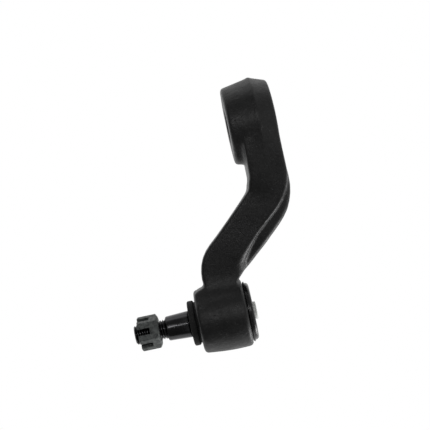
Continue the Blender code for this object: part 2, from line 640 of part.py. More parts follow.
def castle_nut(parts, cutters, centre, material):
    """A hexagon, chamfered by a turned blank, drilled, and slotted across each pair of flats."""
    middle = NUT_SEAT + NUT_HEIGHT / 2
    bpy.ops.mesh.primitive_cylinder_add(vertices=6, radius=NUT_FLATS / math.sqrt(3), depth=NUT_HEIGHT)
    nut = bpy.context.object
    nut.name = "castle_nut"
    nut.data.name = "castle_nut"
    nut.data.transform(Matrix.Rotation(NUT_TURN - math.radians(30), 4, "Z"))
    for owner in nut.users_collection:
        owner.objects.unlink(nut)
    parts.objects.link(nut)
    nut.parent = centre
    nut.location = (0, 0, middle - BALL_LEVEL)
    set_material(nut, material)

    reach = NUT_FLATS
    seat_rise = (reach - NUT_SEAT_RADIUS) * math.tan(NUT_CHAMFER)
    top_fall = (reach - NUT_TOP_RADIUS) * math.tan(NUT_CHAMFER)
    half = NUT_HEIGHT / 2 + WELD
    profile = [(0.0, half), (NUT_TOP_RADIUS, half), (reach, half - top_fall)]
    profile += [(reach, seat_rise - half), (NUT_SEAT_RADIUS, -half), (0.0, -half)]
    blank = turned("nut_chamfers", profile, cutters, (AXIS_DISTANCE, 0, middle), ROUND_STEPS)
    combine(nut, blank, "INTERSECT")

    bore = THREAD_RADIUS + TOUCH
    wide = bore + NUT_THREAD_CHAMFER
    beyond = 1.0 * mm
    end = NUT_HEIGHT / 2
    profile = [(0.0, end + beyond), (wide + beyond, end + beyond), (bore, end - NUT_THREAD_CHAMFER)]
    profile += [(bore, NUT_THREAD_CHAMFER - end), (wide + beyond, -end - beyond), (0.0, -end - beyond)]
    drill = turned("nut_thread", profile, cutters, (AXIS_DISTANCE, 0, middle), SMALL_STEPS)
    combine(nut, drill, "DIFFERENCE")

    slot_height = 2 * NUT_SLOT_DEPTH
    for i in range(3):
        bpy.ops.mesh.primitive_cube_add(size=1)
        slot = bpy.context.object
        slot.name = f"nut_slot_{i}"
        slot.data.transform(Matrix.Diagonal((2 * NUT_FLATS, NUT_SLOT_WIDTH, slot_height, 1)))
        slot.location = (AXIS_DISTANCE, 0, NUT_SEAT + NUT_HEIGHT)
        slot.rotation_euler = (0, 0, NUT_TURN + math.radians(30 + 60 * i))
        for owner in slot.users_collection:
            owner.objects.unlink(slot)
        cutters.objects.link(slot)
        combine(nut, slot, "DIFFERENCE")
    return nut


def build():
    for old in list(bpy.data.objects):
        bpy.data.objects.remove(old, do_unlink=True)
    parts = make_collection("idler_arm")
    cutters = make_collection("cutters")

    forging_paint = make_material("forging_paint", IRON, 0.42, 0.0)
    cover_paint = make_material("cover_paint", IRON, 0.25, 0.0)
    stud_finish = make_material("stud_finish", IRON, 0.22, 0.3)
    nut_phosphate = make_material("nut_phosphate", PHOSPHATE, 0.6, 0.4)
    seal_rubber = make_material("seal_rubber", RUBBER, 0.7, 0.0)
    plug_plastic = make_material("plug_plastic", PLASTIC, 0.4, 0.0)
    bearing_sinter = make_material("bearing_sinter", SINTERED, 0.5, 0.8)
    seat_steel = make_material("seat_steel", STEEL, 0.35, 1.0)
    spring_steel = make_material("spring_steel", STEEL, 0.3, 1.0)

    arm_forging(parts, cutters, forging_paint)

    centre = bpy.data.objects.new("ball_centre", None)
    centre.location = (AXIS_DISTANCE, 0, BALL_LEVEL)
    parts.objects.link(centre)
    ball_stud(parts, cutters, centre, stud_finish)
    half_ball_bearing(parts, centre, bearing_sinter)
    pressure_seat(parts, centre, seat_steel)
    preload_spring(parts, centre, spring_steel)
    cover_plate(parts, centre, cover_paint)
    grease_hole_plug(parts, centre, plug_plastic)
    dust_seal(parts, centre, seal_rubber)
    castle_nut(parts, cutters, centre, nut_phosphate)


build()
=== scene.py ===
import json
import math

import bmesh
import bpy
import numpy as np
from mathutils import Matrix, Vector, noise


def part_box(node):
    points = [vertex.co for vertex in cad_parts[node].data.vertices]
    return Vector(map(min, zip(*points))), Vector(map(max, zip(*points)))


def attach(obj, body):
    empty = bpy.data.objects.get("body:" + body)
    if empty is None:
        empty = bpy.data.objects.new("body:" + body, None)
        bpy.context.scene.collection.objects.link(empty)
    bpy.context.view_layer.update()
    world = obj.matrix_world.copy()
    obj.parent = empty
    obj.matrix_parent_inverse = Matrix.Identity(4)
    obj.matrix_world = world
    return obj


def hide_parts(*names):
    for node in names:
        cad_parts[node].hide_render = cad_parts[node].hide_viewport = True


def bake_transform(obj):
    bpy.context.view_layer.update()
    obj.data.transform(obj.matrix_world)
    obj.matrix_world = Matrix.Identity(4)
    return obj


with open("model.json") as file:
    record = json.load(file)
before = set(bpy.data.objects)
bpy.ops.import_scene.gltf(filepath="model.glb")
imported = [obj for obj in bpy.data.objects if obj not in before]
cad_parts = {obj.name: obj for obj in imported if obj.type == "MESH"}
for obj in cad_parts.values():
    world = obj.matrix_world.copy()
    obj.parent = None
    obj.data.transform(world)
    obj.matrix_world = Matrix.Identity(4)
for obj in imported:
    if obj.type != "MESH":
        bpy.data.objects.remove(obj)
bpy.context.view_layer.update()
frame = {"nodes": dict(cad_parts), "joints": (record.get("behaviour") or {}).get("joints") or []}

NODES = frame["nodes"]
JOINTS = {joint["name"]: joint for joint in frame["joints"]}
mm = 0.001

# Places that the frame gives
BALL_CENTRE = Vector(JOINTS["stud_tilt"]["pos_m"])
ARM_LOW, ARM_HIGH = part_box("arm_forging")
STUD_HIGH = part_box("ball_stud")[1]
NUT_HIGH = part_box("castle_nut")[1]
SEAL_LOW, SEAL_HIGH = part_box("dust_seal")
COVER_LOW, COVER_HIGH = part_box("cover_plate")
PLUG_LOW, PLUG_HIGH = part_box("grease_hole_plug")

# Sizes of the forging, as the CAD has them
EYE_HEIGHT = 39.0 * mm
BORE_SMALL_RADIUS = 13.2 * mm
BORE_TAPER = 1 / 12
BORE_TEETH = 36
TOOTH_DEPTH = 1.0 * mm
BORE_CHAMFER = 1.4 * mm
HOUSING_TOP = ARM_HIGH.z
HOUSING_BOTTOM = 54.8 * mm
SOCKET_BORE_RADIUS = 19.0 * mm
SOCKET_STEP = 1.0 * mm
SEAT_RADIUS = 16.3 * mm
MOUTH_INNER_RADIUS = 12.6 * mm
MOUTH_OUTER_RADIUS = 15.2 * mm

# The foot of the housing, with the lip rolled over the cover plate
LIP_BOTTOM = 49.4 * mm
LIP_RADIUS = 25.1 * mm
LIP_FOOT_RADIUS = 23.9 * mm
LIP_CORNER = 2.8 * mm
LIP_GROOVE_ROUND = 1.2 * mm
LIP_THICKNESS = 1.6 * mm
LIP_MOUTH_RADIUS = 20.0 * mm
LIP_MOUTH_ROUND = 0.5 * mm
LIP_OVERLAP = 1.0 * mm
LIP_NECK = 0.5 * mm
COVER_CLEARANCE = 0.3 * mm

# What is filled before the forging is resampled, what is cut off after it, and how far cutters reach past it
FILLED_EYE_RADIUS = 17.0 * mm
FILLED_SOCKET_RADIUS = 22.0 * mm
FILLED_BELOW_HOUSING = 4.0 * mm
CUT_RADIUS = 32.0 * mm
CUT_BELOW_LIP = 3.0 * mm
BEYOND = 2.0 * mm

# The sloping stretch of the arm's centre line
SLOPE_START = Vector((57.4 * mm, 0, 15.0 * mm))
SLOPE_END = Vector((106.7 * mm, 0, 71.0 * mm))

# The keel's crease: how far below the centre line it lies, where along x it starts, and how far before the
# ball's axis it ends. Each has the stretch over which the crease comes in or fades.
CREASE_DEPTH = 9.0 * mm
CREASE_DEPTH_BAND = 2.0 * mm
CREASE_START = 36.0 * mm
CREASE_START_BAND = 8.0 * mm
CREASE_END = 31.0 * mm
CREASE_END_BAND = 24.0 * mm

# The eye's faced ends: how far out and how near the end they reach, the bands over which they fade, and the
# pitch of the facing tool's rings
FACED_RADIUS = 31.0 * mm
FACED_RADIUS_BAND = 0.1 * mm
FACED_DEPTH = 0.3 * mm
FACED_DEPTH_BAND = 0.15 * mm
TOOL_FEED = 0.6 * mm

# How the forging's surface is resampled. A share is the part of a full smoothing step that is taken.
VOXEL = 0.75 * mm
SMOOTHING = 0.5
SMOOTH_ROUNDS = 5
FILLET_ROUNDS = 50
ROUNDS_PER_NORMAL = 10
CREASE_SHARE = 0.08
CONVEX_SHARE = 0.05
FORGING_SHARP = 38

# The forging's skin: height and size of its swell and its grit, and the share that flat ends keep
SWELL = 0.12 * mm
SWELL_SIZE = 16.0 * mm
GRIT = 0.035 * mm
GRIT_SIZE = 2.6 * mm
FLAT_NORMAL = 0.999
FLAT_SHARE = 0.1

# The stud and its thread
NECK_RADIUS = 9.2 * mm
NECK_TOP = HOUSING_TOP + 1.3 * mm
NECK_SHOULDER = 0.6 * mm
NECK_SHOULDER_RISE = 1.0 * mm
TAPER_START = HOUSING_TOP + 5.0 * mm
TAPER_END = 121.8 * mm
TAPER_END_RADIUS = 10.15 * mm
TAPER_SLOPE = 1 / 20
TAPER_ROUND = 1.6 * mm
TAPER_ROUND_DROP = 0.6 * mm
BALL_RADIUS = 16.0 * mm
BALL_FOOT = 14.5 * mm
HALF_GAP = 0.15 * mm
THREAD_RADIUS = 8.0 * mm
THREAD_PITCH = 2.0 * mm
THREAD_DEPTH = 1.1 * mm
THREAD_START = 123.3 * mm
THREAD_OVERLAP = 1.0 * mm
THREAD_RELIEF = 0.2 * mm
THREAD_RUNOUT = 0.8 * mm
THREAD_ROOT_SHARE = 0.1
THREAD_FLANK_SHARE = 0.6
THREAD_STEPS = 80
THREAD_ROWS_A_TURN = 10
THREAD_SHARP = 60
TIP_CHAMFER = 0.9 * mm
COTTER_HOLE_RADIUS = 2.0 * mm
COTTER_HOLE_REACH = 12 * mm
COTTER_HOLE_STEPS = 40
COTTER_TURN = math.radians(13 - 60)
COTTER_LEVEL = NUT_HIGH.z - 7.3 * mm

# The nut's resampling
NUT_VOXEL = 0.28 * mm
NUT_SMOOTH_ROUNDS = 4

# Facets round a turned piece, the angle in degrees past which an edge stays hard, and the radius within which
# a profile's point is on the axis
ROUND_STEPS = 128
SHARP = 40
ON_AXIS = 0.00001

# The photograph's view, and the floor: how far below the arm it lies, and between which places along Y its
# white fades out of reflections, in metres
PHOTO_WIDTH = 430
MM_PER_PIXEL = 0.83
VIEW_DISTANCE = 0.7495
SENSOR = 36.0
IMAGE_CENTRE = Vector((69.1 * mm, 0, 64.2 * mm))
IMAGE_TILT = math.radians(12)
FLOOR_DROP = 0.6
FLOOR_SIZE = 3.0
FLOOR_COLOUR = 0.65
FLOOR_BEHIND = -0.5
FLOOR_IN_FRONT = 0.2

# The world's light from behind the arm, from its near side and from overhead. The last three say where each
# begins, as the part of a direction that lies along the axis to the camera, or along up for OVERHEAD.
BACK_LIGHT = 1.0
FRONT_LIGHT = 0.10
TOP_LIGHT = 0.1
BEHIND = -0.5
IN_FRONT = 0.3
OVERHEAD = 0.2

# The lamps: place in metres to the right, up and towards the camera, width and height, and watts
LAMPS = {
    "top_softbox": ((0.0, 0.9, 0.0), (0.35, 1.3), 0.8),
    "under_softbox": ((0.1, -0.9, 0.0), (0.35, 1.3), 0.9),
    "side_softbox": ((0.7, -0.55, -0.1), (0.5, 0.4), 5.0),
    "front_strip": ((0.0, 0.16, 0.8), (0.03, 0.9), 1.0),
    "front_softbox": ((-0.28, 0.2, 0.85), (0.3, 0.3), 0.4),
}


# Mesh helpers


def add_object(name, data):
    made = bpy.data.objects.new(name, data)
    bpy.context.scene.collection.objects.link(made)
    return made


def shade(mesh, sharp):
    """Smooth shading, with edges of more than the sharp angle, in degrees, left hard."""
    mesh.shade_smooth()
    mesh.set_sharp_from_angle(angle=math.radians(sharp))


def mesh_from(name, bm, sharp=SHARP):
    bmesh.ops.recalc_face_normals(bm, faces=bm.faces)
    mesh = bpy.data.meshes.new(name)
    bm.to_mesh(mesh)
    bm.free()
    shade(mesh, sharp)
    return mesh


def arc(centre, radius, start, end, count):
    """Points (radius from the axis, height) on an arc of a profile, from one angle to another, in degrees."""
    points = []
    for i in range(count + 1):
        angle = math.radians(start + (end - start) * i / count)
        points.append((centre[0] + radius * math.cos(angle), centre[1] + radius * math.sin(angle)))
    return points


def turned(name, profile, axis_x, closed=False, steps=ROUND_STEPS, sharp=SHARP):
    """A turned mesh about the vertical line at x = axis_x. A profile that isn't closed ends on that line."""
    bm = bmesh.new()
    rings = []
    for radius, height in profile:
        if radius < ON_AXIS:
            rings.append([bm.verts.new((axis_x, 0, height))] * steps)
            continue
        ring = []
        for i in range(steps):
            angle = math.tau * i / steps
            ring.append(bm.verts.new((axis_x + radius * math.cos(angle), radius * math.sin(angle), height)))
        rings.append(ring)
    pairs = list(zip(rings, rings[1:]))
    if closed:
        pairs.append((rings[-1], rings[0]))
    for one, other in pairs:
        for i in range(steps):
            j = (i + 1) % steps
            corners = []
            for corner in (one[i], one[j], other[j], other[i]):
                if corner not in corners:
                    corners.append(corner)
            if len(corners) > 2:
                bm.faces.new(corners)
    return mesh_from(name, bm, sharp)


def cylinder(name, radius, top, bottom, axis_x, steps=ROUND_STEPS):
    return turned(name, [(0.0, top), (radius, top), (radius, bottom), (0.0, bottom)], axis_x, steps=steps)


def apply_modifiers(made):
    bpy.context.view_layer.update()
    graph = bpy.context.evaluated_depsgraph_get()
    mesh = bpy.data.meshes.new_from_object(made.evaluated_get(graph))
    mesh.name = made.name
    made.modifiers.clear()
    old = made.data
    made.data = mesh
    if not old.users:
        bpy.data.meshes.remove(old)


def resample(made, voxel):
    remesh = made.modifiers.new("resample", "REMESH")
    remesh.mode = "VOXEL"
    remesh.voxel_size = voxel
    apply_modifiers(made)


def boolean(target, mesh, operation):
    """Joins mesh to the target object, or cuts it away, at once."""
    other = add_object("tool", mesh)
    step = target.modifiers.new("tool", "BOOLEAN")
    step.operation = operation
    step.solver = "EXACT"
    step.object = other
    apply_modifiers(target)
    bpy.data.objects.remove(other)


def coordinates(mesh):
    points = np.empty(len(mesh.vertices) * 3)
    mesh.vertices.foreach_get("co", points)
    return points.reshape(-1, 3)


def set_coordinates(mesh, points):
    mesh.vertices.foreach_set("co", points.ravel())
    mesh.update()


def point_normals(mesh):
    normals = np.empty(len(mesh.vertices) * 3)
    mesh.vertices.foreach_get("normal", normals)
    return normals.reshape(-1, 3)


def relax(mesh, rounds, convex_share=1.0, freedom=None):
    """Smooths a mesh by drawing each point towards the mean of its neighbours.

    Where the surface is convex the step is only convex_share of the full one, so that a small share
    fills the hollows with fillets and leaves the edges. Freedom gives each point's own share of the step.
    """
    edges = np.empty(len(mesh.edges) * 2, dtype=np.int64)
    mesh.edges.foreach_get("vertices", edges)
    edges = edges.reshape(-1, 2)
    points = coordinates(mesh)
    count = np.bincount(edges.ravel(), minlength=len(points)).astype(float)[:, None]
    normals = point_normals(mesh)
    for i in range(rounds):
        total = np.empty_like(points)
        for axis in range(3):
            total[:, axis] = np.bincount(edges[:, 0], points[edges[:, 1], axis], len(points))
            total[:, axis] += np.bincount(edges[:, 1], points[edges[:, 0], axis], len(points))
        pull = total / count - points
        step = np.full(len(points), SMOOTHING) if freedom is None else SMOOTHING * freedom
        if convex_share < 1:
            if (i + 1) % ROUNDS_PER_NORMAL == 0:
                set_coordinates(mesh, points)
                normals = point_normals(mesh)
            step[np.einsum("ij,ij->i", pull, normals) < 0] *= convex_share
        points += step[:, None] * pull
    set_coordinates(mesh, points)


# The forging


def serrated_core():
    """The tapered core that leaves the eye's teeth, with its corners drawn in to a flat-topped wave."""
    corners = 4 * BORE_TEETH
    bm = bmesh.new()
    rings = []
    for height in (EYE_HEIGHT + BEYOND, -BEYOND):
        radius = BORE_SMALL_RADIUS + (EYE_HEIGHT - height) * BORE_TAPER / 2
        ring = []
        for i in range(corners):
            depth = TOOTH_DEPTH if i % 4 in (2, 3) else 0.0
            angle = math.tau * (i + (0.25 if i % 2 else -0.25)) / corners
            reach = radius - depth
            ring.append(bm.verts.new((reach * math.cos(angle), reach * math.sin(angle), height)))
        rings.append(ring)
    for i in range(corners):
        j = (i + 1) % corners
        bm.faces.new((rings[0][i], rings[1][i], rings[1][j], rings[0][j]))
    bm.faces.new(reversed(rings[0]))
    bm.faces.new(rings[1])
    return mesh_from("serrated_core", bm)


def chamfer_cone(radius, height, side):
    """A cone that breaks the bore's edge at an eye face: side is 1 for the upper face, -1 for the lower."""
    outside = height + side * BEYOND
    inside = height - side * (BORE_CHAMFER + TOOTH_DEPTH)
    profile = [(0.0, outside), (radius + BORE_CHAMFER + BEYOND, outside)]
    profile += [(radius - TOOTH_DEPTH, inside), (0.0, inside)]
    return turned("chamfer_cone", profile, 0.0)


def socket_core():
    """What is bored out of the housing: its mouth, the spherical seat, the straight bore and the recess."""
    mouth = math.degrees(math.acos(MOUTH_INNER_RADIUS / SEAT_RADIUS))
    seat_top = BALL_CENTRE.z + SEAT_RADIUS * math.sin(math.radians(mouth))
    widening = (MOUTH_OUTER_RADIUS - MOUTH_INNER_RADIUS) / (HOUSING_TOP - seat_top)
    top = HOUSING_TOP + BEYOND
    step = BALL_CENTRE.z - SOCKET_STEP
    bottom = LIP_BOTTOM - BEYOND
    profile = [(0.0, top), (MOUTH_OUTER_RADIUS + widening * BEYOND, top)]
    profile += arc((0.0, BALL_CENTRE.z), SEAT_RADIUS, mouth, 0, 14)
    profile += [(SEAT_RADIUS, step), (SOCKET_BORE_RADIUS, step), (SOCKET_BORE_RADIUS, bottom), (0.0, bottom)]
    return turned("socket_core", profile, BALL_CENTRE.x)


def fillet_freedom(mesh):
    """Full freedom to fill hollows, but little of it in the crease along the keel."""
    points = coordinates(mesh)
    along = (SLOPE_END - SLOPE_START).normalized()
    below = (points[:, 0] - SLOPE_START.x) * along.z - (points[:, 2] - SLOPE_START.z) * along.x
    start = np.clip((points[:, 0] - CREASE_START) / CREASE_START_BAND, 0, 1)
    end = np.clip((BALL_CENTRE.x - CREASE_END - points[:, 0]) / CREASE_END_BAND, 0, 1)
    crease = np.clip((below - CREASE_DEPTH) / CREASE_DEPTH_BAND, 0, 1) * start * end
    return 1 - (1 - CREASE_SHARE) * crease


def roughen(mesh):
    """The slow swell and the fine grit that a die leaves on a forging, kept off the eye's two faces."""
    normals = point_normals(mesh)
    points = coordinates(mesh)
    lift = np.empty(len(points))
    for i, point in enumerate(points):
        swell = noise.noise(Vector(point) / SWELL_SIZE)
        grit = noise.noise(Vector(point) / GRIT_SIZE)
        lift[i] = SWELL * swell + GRIT * grit
    flat = np.abs(normals[:, 2]) > FLAT_NORMAL
    lift[flat] *= FLAT_SHARE
    set_coordinates(mesh, points + normals * lift[:, None])


def forging(paint):
    """The forging's own surface: the CAD solid, filled, resampled and smoothed, and then bored again."""
    body = add_object("forged_arm", NODES["arm_forging"].data.copy())
    body.data.materials.clear()
    fill_bottom = HOUSING_BOTTOM - FILLED_BELOW_HOUSING
    boolean(body, cylinder("fill", FILLED_EYE_RADIUS, EYE_HEIGHT, 0.0, 0.0), "UNION")
    boolean(body, cylinder("fill", FILLED_SOCKET_RADIUS, HOUSING_TOP, fill_bottom, BALL_CENTRE.x), "UNION")
    resample(body, VOXEL)
    relax(body.data, SMOOTH_ROUNDS)
    relax(body.data, FILLET_ROUNDS, CONVEX_SHARE, fillet_freedom(body.data))
    roughen(body.data)

    cut_bottom = LIP_BOTTOM - CUT_BELOW_LIP
    large = BORE_SMALL_RADIUS + EYE_HEIGHT * BORE_TAPER / 2
    boolean(body, cylinder("below", CUT_RADIUS, HOUSING_BOTTOM, cut_bottom, BALL_CENTRE.x), "DIFFERENCE")
    boolean(body, serrated_core(), "DIFFERENCE")
    boolean(body, chamfer_cone(BORE_SMALL_RADIUS, EYE_HEIGHT, 1), "DIFFERENCE")
    boolean(body, chamfer_cone(large, 0.0, -1), "DIFFERENCE")
    boolean(body, socket_core(), "DIFFERENCE")
    shade(body.data, FORGING_SHARP)
    body.data.materials.append(paint)
    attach(body, "arm")
    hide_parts("arm_forging")


def rolled_lip(paint):
    """The forging's turned foot, whose edge is rolled over the cover plate."""
    recess = COVER_HIGH.z + COVER_CLEARANCE
    cover_radius = (COVER_HIGH.x - COVER_LOW.x) / 2 + COVER_CLEARANCE
    inside = LIP_BOTTOM + LIP_THICKNESS
    neck = LIP_RADIUS - LIP_GROOVE_ROUND
    neck_top = HOUSING_BOTTOM + LIP_OVERLAP
    neck_bottom = HOUSING_BOTTOM - LIP_NECK
    corner = (LIP_FOOT_RADIUS - LIP_CORNER, LIP_BOTTOM + LIP_CORNER)
    mouth = (LIP_MOUTH_RADIUS + LIP_MOUTH_ROUND, LIP_BOTTOM + LIP_MOUTH_ROUND)
    profile = [(SOCKET_BORE_RADIUS, neck_top), (neck, neck_top), (neck, neck_bottom)]
    profile += arc((neck, neck_bottom - LIP_GROOVE_ROUND), LIP_GROOVE_ROUND, 90, -20, 10)
    profile += arc(corner, LIP_CORNER, 12, -90, 12)
    profile += arc(mouth, LIP_MOUTH_ROUND, -90, -180, 4)
    profile += [(LIP_MOUTH_RADIUS, inside), (cover_radius, inside), (cover_radius, recess)]
    profile += [(SOCKET_BORE_RADIUS, recess)]
    made = add_object("rolled_lip", turned("rolled_lip", profile, BALL_CENTRE.x, closed=True))
    made.data.materials.append(paint)
    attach(made, "arm")


def cover_plate(paint):
    """The pressed cover: a flat rim, a shallow dome and the hole for the plug."""
    low, high = COVER_LOW.z, COVER_HIGH.z
    radius = (COVER_HIGH.x - COVER_LOW.x) / 2
    dome = 1.7 * mm
    thickness = (high - low) - dome
    edge = 0.3 * mm
    hole = 3.4 * mm
    hole_edge = 0.4 * mm
    flat = 15.5 * mm
    bend = 1.3 * mm
    bend_width = 2.2 * mm
    inner_flat = flat - 0.6 * mm
    inner_dome = flat - 3.0 * mm
    rim = low + dome
    profile = [(radius, high), (radius, rim + edge), (radius - edge, rim)]
    profile += arc((flat, rim - bend), bend, 90, 135, 3)
    profile += arc((flat - bend_width, low + bend), bend, -45, -90, 3)
    profile += [(hole + hole_edge, low), (hole, low + hole_edge), (hole, low + thickness)]
    profile += [(inner_dome, low + thickness), (inner_flat, high)]
    made = add_object("pressed_cover", turned("pressed_cover", profile, BALL_CENTRE.x, closed=True, sharp=30))
    made.data.materials.append(paint)
    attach(made, "arm")
    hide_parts("cover_plate")


def grease_hole_plug(plastic):
    """The plug: a stem with a tapered end, and a round-edged head, dished round the moulding gate's nub."""
    low, high = PLUG_LOW.z, PLUG_HIGH.z
    radius = (PLUG_HIGH.x - PLUG_LOW.x) / 2
    head_top = low + 2.6 * mm
    edge = 0.3 * mm
    corner = 0.9 * mm
    stem = 3.1 * mm
    stem_end = stem - 0.6 * mm
    stem_taper = 0.8 * mm
    dish = radius - 2.2 * mm
    dish_slope = 0.4 * mm
    dish_level = low + 0.5 * mm
    nub = 1.2 * mm
    nub_top = 0.8 * mm
    nub_edge = low + 0.3 * mm
    nub_middle = low + 0.25 * mm
    profile = [(0.0, high), (stem_end, high), (stem, high - stem_taper), (stem, head_top)]
    profile += [(radius - edge, head_top), (radius, head_top - edge)]
    profile += arc((radius - corner, low + corner), corner, 0, -90, 6)
    profile += [(dish, low), (dish - dish_slope, dish_level), (nub, dish_level)]
    profile += [(nub_top, nub_edge), (0.0, nub_middle)]
    made = add_object("hole_plug", turned("hole_plug", profile, BALL_CENTRE.x, sharp=30))
    made.data.materials.append(plastic)
    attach(made, "arm")
    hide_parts("grease_hole_plug")


# The stud, its thread, nut and seal


def stud(finish):
    """The stud's shank, neck and half ball, up to where its thread starts."""
    root = THREAD_RADIUS - THREAD_DEPTH
    root_top = THREAD_START + THREAD_OVERLAP
    taper_corner = (TAPER_END_RADIUS - TAPER_ROUND, TAPER_END - TAPER_ROUND_DROP)
    taper_start_radius = TAPER_END_RADIUS + (TAPER_END - TAPER_START) * TAPER_SLOPE
    profile = [(0.0, root_top), (root, root_top), (root, THREAD_START)]
    profile += [(THREAD_RADIUS, THREAD_START - THREAD_RELIEF)]
    profile += arc(taper_corner, TAPER_ROUND, 75, 3, 8)
    profile += [(taper_start_radius, TAPER_START)]
    profile += [(NECK_RADIUS + NECK_SHOULDER, NECK_TOP + NECK_SHOULDER_RISE)]
    profile += [(NECK_RADIUS, NECK_TOP - NECK_SHOULDER), (NECK_RADIUS, BALL_CENTRE.z - HALF_GAP)]
    start = -math.degrees(math.asin(HALF_GAP / BALL_RADIUS))
    end = -math.degrees(math.asin(BALL_FOOT / BALL_RADIUS))
    profile += arc((0.0, BALL_CENTRE.z), BALL_RADIUS, start, end, 20)
    profile.append((0.0, BALL_CENTRE.z - BALL_FOOT))
    made = add_object("tapered_stud", turned("tapered_stud", profile, BALL_CENTRE.x))
    made.data.materials.append(finish)
    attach(made, "stud")
    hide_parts("ball_stud")


def thread_depth(turns):
    """How deep a thread is cut at a place along its pitch: sloping flanks, a narrow root and a flat crest."""
    from_root = abs(turns % 1.0 - 0.5) * 2
    return THREAD_DEPTH * (1 - min(max((from_root - THREAD_ROOT_SHARE) / THREAD_FLANK_SHARE, 0.0), 1.0))


def stud_thread(finish):
    """A real helical thread from the taper to the chamfered tip, drilled for the cotter pin."""
    tip = STUD_HIGH.z
    rows = round((tip - THREAD_START) / THREAD_PITCH * THREAD_ROWS_A_TURN)
    bm = bmesh.new()
    rings = []
    for row in range(rows + 1):
        height = THREAD_START + (tip - THREAD_START) * row / rows
        crest = min(THREAD_RADIUS, THREAD_RADIUS - TIP_CHAMFER + (tip - height))
        runout = min(max((height - THREAD_START) / THREAD_RUNOUT, 0.0), 1.0)
        ring = []
        for i in range(THREAD_STEPS):
            around = i / THREAD_STEPS
            angle = math.tau * i / THREAD_STEPS
            cut = THREAD_RADIUS - thread_depth(height / THREAD_PITCH - around) * runout
            radius = min(crest, cut)
            place = (BALL_CENTRE.x + radius * math.cos(angle), radius * math.sin(angle), height)
            ring.append(bm.verts.new(place))
        rings.append(ring)
    for one, other in zip(rings, rings[1:]):
        for i in range(THREAD_STEPS):
            j = (i + 1) % THREAD_STEPS
            bm.faces.new((one[i], one[j], other[j], other[i]))
    bm.faces.new(reversed(rings[0]))
    bm.faces.new(rings[-1])
    made = add_object("stud_thread", mesh_from("stud_thread", bm, THREAD_SHARP))
    drill = cylinder("drill", COTTER_HOLE_RADIUS, COTTER_HOLE_REACH, -COTTER_HOLE_REACH, 0.0,
                     COTTER_HOLE_STEPS)
    across = Matrix.Translation((BALL_CENTRE.x, 0, COTTER_LEVEL))
    across = across @ Matrix.Rotation(COTTER_TURN, 4, "Z") @ Matrix.Rotation(math.radians(90), 4, "X")
    drill.transform(across)
    boolean(made, drill, "DIFFERENCE")
    shade(made.data, THREAD_SHARP)
    made.data.materials.append(finish)
    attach(made, "stud")


def castle_nut(phosphate):
    """The slotted nut, its edges softened as a forged and tumbled nut's are."""
    made = add_object("slotted_nut", NODES["castle_nut"].data.copy())
    made.data.materials.clear()
    resample(made, NUT_VOXEL)
    relax(made.data, NUT_SMOOTH_ROUNDS)
    made.data.shade_smooth()
    made.data.materials.append(phosphate)
    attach(made, "stud")
    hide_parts("castle_nut")


def dust_seal(rubber):
    """The rubber collar, its foot on the housing."""
    foot, top = SEAL_LOW.z, SEAL_HIGH.z
    radius = (SEAL_HIGH.x - SEAL_LOW.x) / 2
    wall = 1.7 * mm
    lip_gap = 0.25 * mm
    lip = TAPER_END_RADIUS + (TAPER_END - top) * TAPER_SLOPE + lip_gap
    lip_edge = 0.4 * mm
    bead = lip + 2.2 * mm
    bead_foot = lip + 2.9 * mm
    bead_height = 0.5 * mm
    crown = radius - 2.6 * mm
    rim = 1.5 * mm
    foot_radius = 17.2 * mm
    foot_height = 1.3 * mm
    foot_round = 0.3 * mm
    foot_corner = (foot_radius + 0.2 * mm, foot + 1.0 * mm)
    profile = [(lip + lip_edge, top), (bead, top), (bead_foot, top - bead_height), (crown, top - bead_height)]
    profile += arc((radius - rim, top - rim), rim, 75, 0, 6)
    profile += arc((radius - rim, foot + foot_height + rim), rim, 0, -70, 6)
    profile += arc(foot_corner, foot_round, 90, 180, 3)
    profile += [(foot_radius, foot), (foot_radius - wall, foot), (foot_radius - wall, top - 2 * wall)]
    profile += [(foot_radius - 2 * wall, top - wall), (lip, top - wall), (lip, top - lip_edge)]
    made = add_object("rubber_seal", turned("rubber_seal", profile, BALL_CENTRE.x, closed=True, sharp=55))
    made.data.materials.append(rubber)
    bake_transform(made)
    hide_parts("dust_seal")


# Node helpers


def shader_of(name, colour, roughness, metallic=0.0, specular=0.5):
    material = bpy.data.materials.new(name)
    material.use_nodes = True
    tree = material.node_tree
    shader = tree.nodes["Principled BSDF"]
    shader.inputs["Base Color"].default_value = (*colour, 1.0)
    shader.inputs["Roughness"].default_value = roughness
    shader.inputs["Metallic"].default_value = metallic
    shader.inputs["Specular IOR Level"].default_value = specular
    return material, tree, shader


def object_place(tree):
    """The material's one node that gives a point's place on its object."""
    place = tree.nodes.get("place") or tree.nodes.new("ShaderNodeTexCoord")
    place.name = "place"
    return place.outputs["Object"]


def noise_node(tree, scale, detail=3.0, roughness=0.55):
    made = tree.nodes.new("ShaderNodeTexNoise")
    made.inputs["Scale"].default_value = scale
    made.inputs["Detail"].default_value = detail
    made.inputs["Roughness"].default_value = roughness
    tree.links.new(object_place(tree), made.inputs["Vector"])
    return made.outputs["Fac"]


def combined(tree, operation, first, second):
    """A Math node on two values, each a socket or a number."""
    made = tree.nodes.new("ShaderNodeMath")
    made.operation = operation
    for i, value in enumerate((first, second)):
        if isinstance(value, float):
            made.inputs[i].default_value = value
        else:
            tree.links.new(value, made.inputs[i])
    return made.outputs["Value"]


def ranged(tree, value, low, high, to_low, to_high):
    """Maps low to high onto to_low to to_high, and clamps what lies outside."""
    made = tree.nodes.new("ShaderNodeMapRange")
    made.inputs["From Min"].default_value = low
    made.inputs["From Max"].default_value = high
    made.inputs["To Min"].default_value = to_low
    made.inputs["To Max"].default_value = to_high
    tree.links.new(value, made.inputs["Value"])
    return made.outputs["Result"]


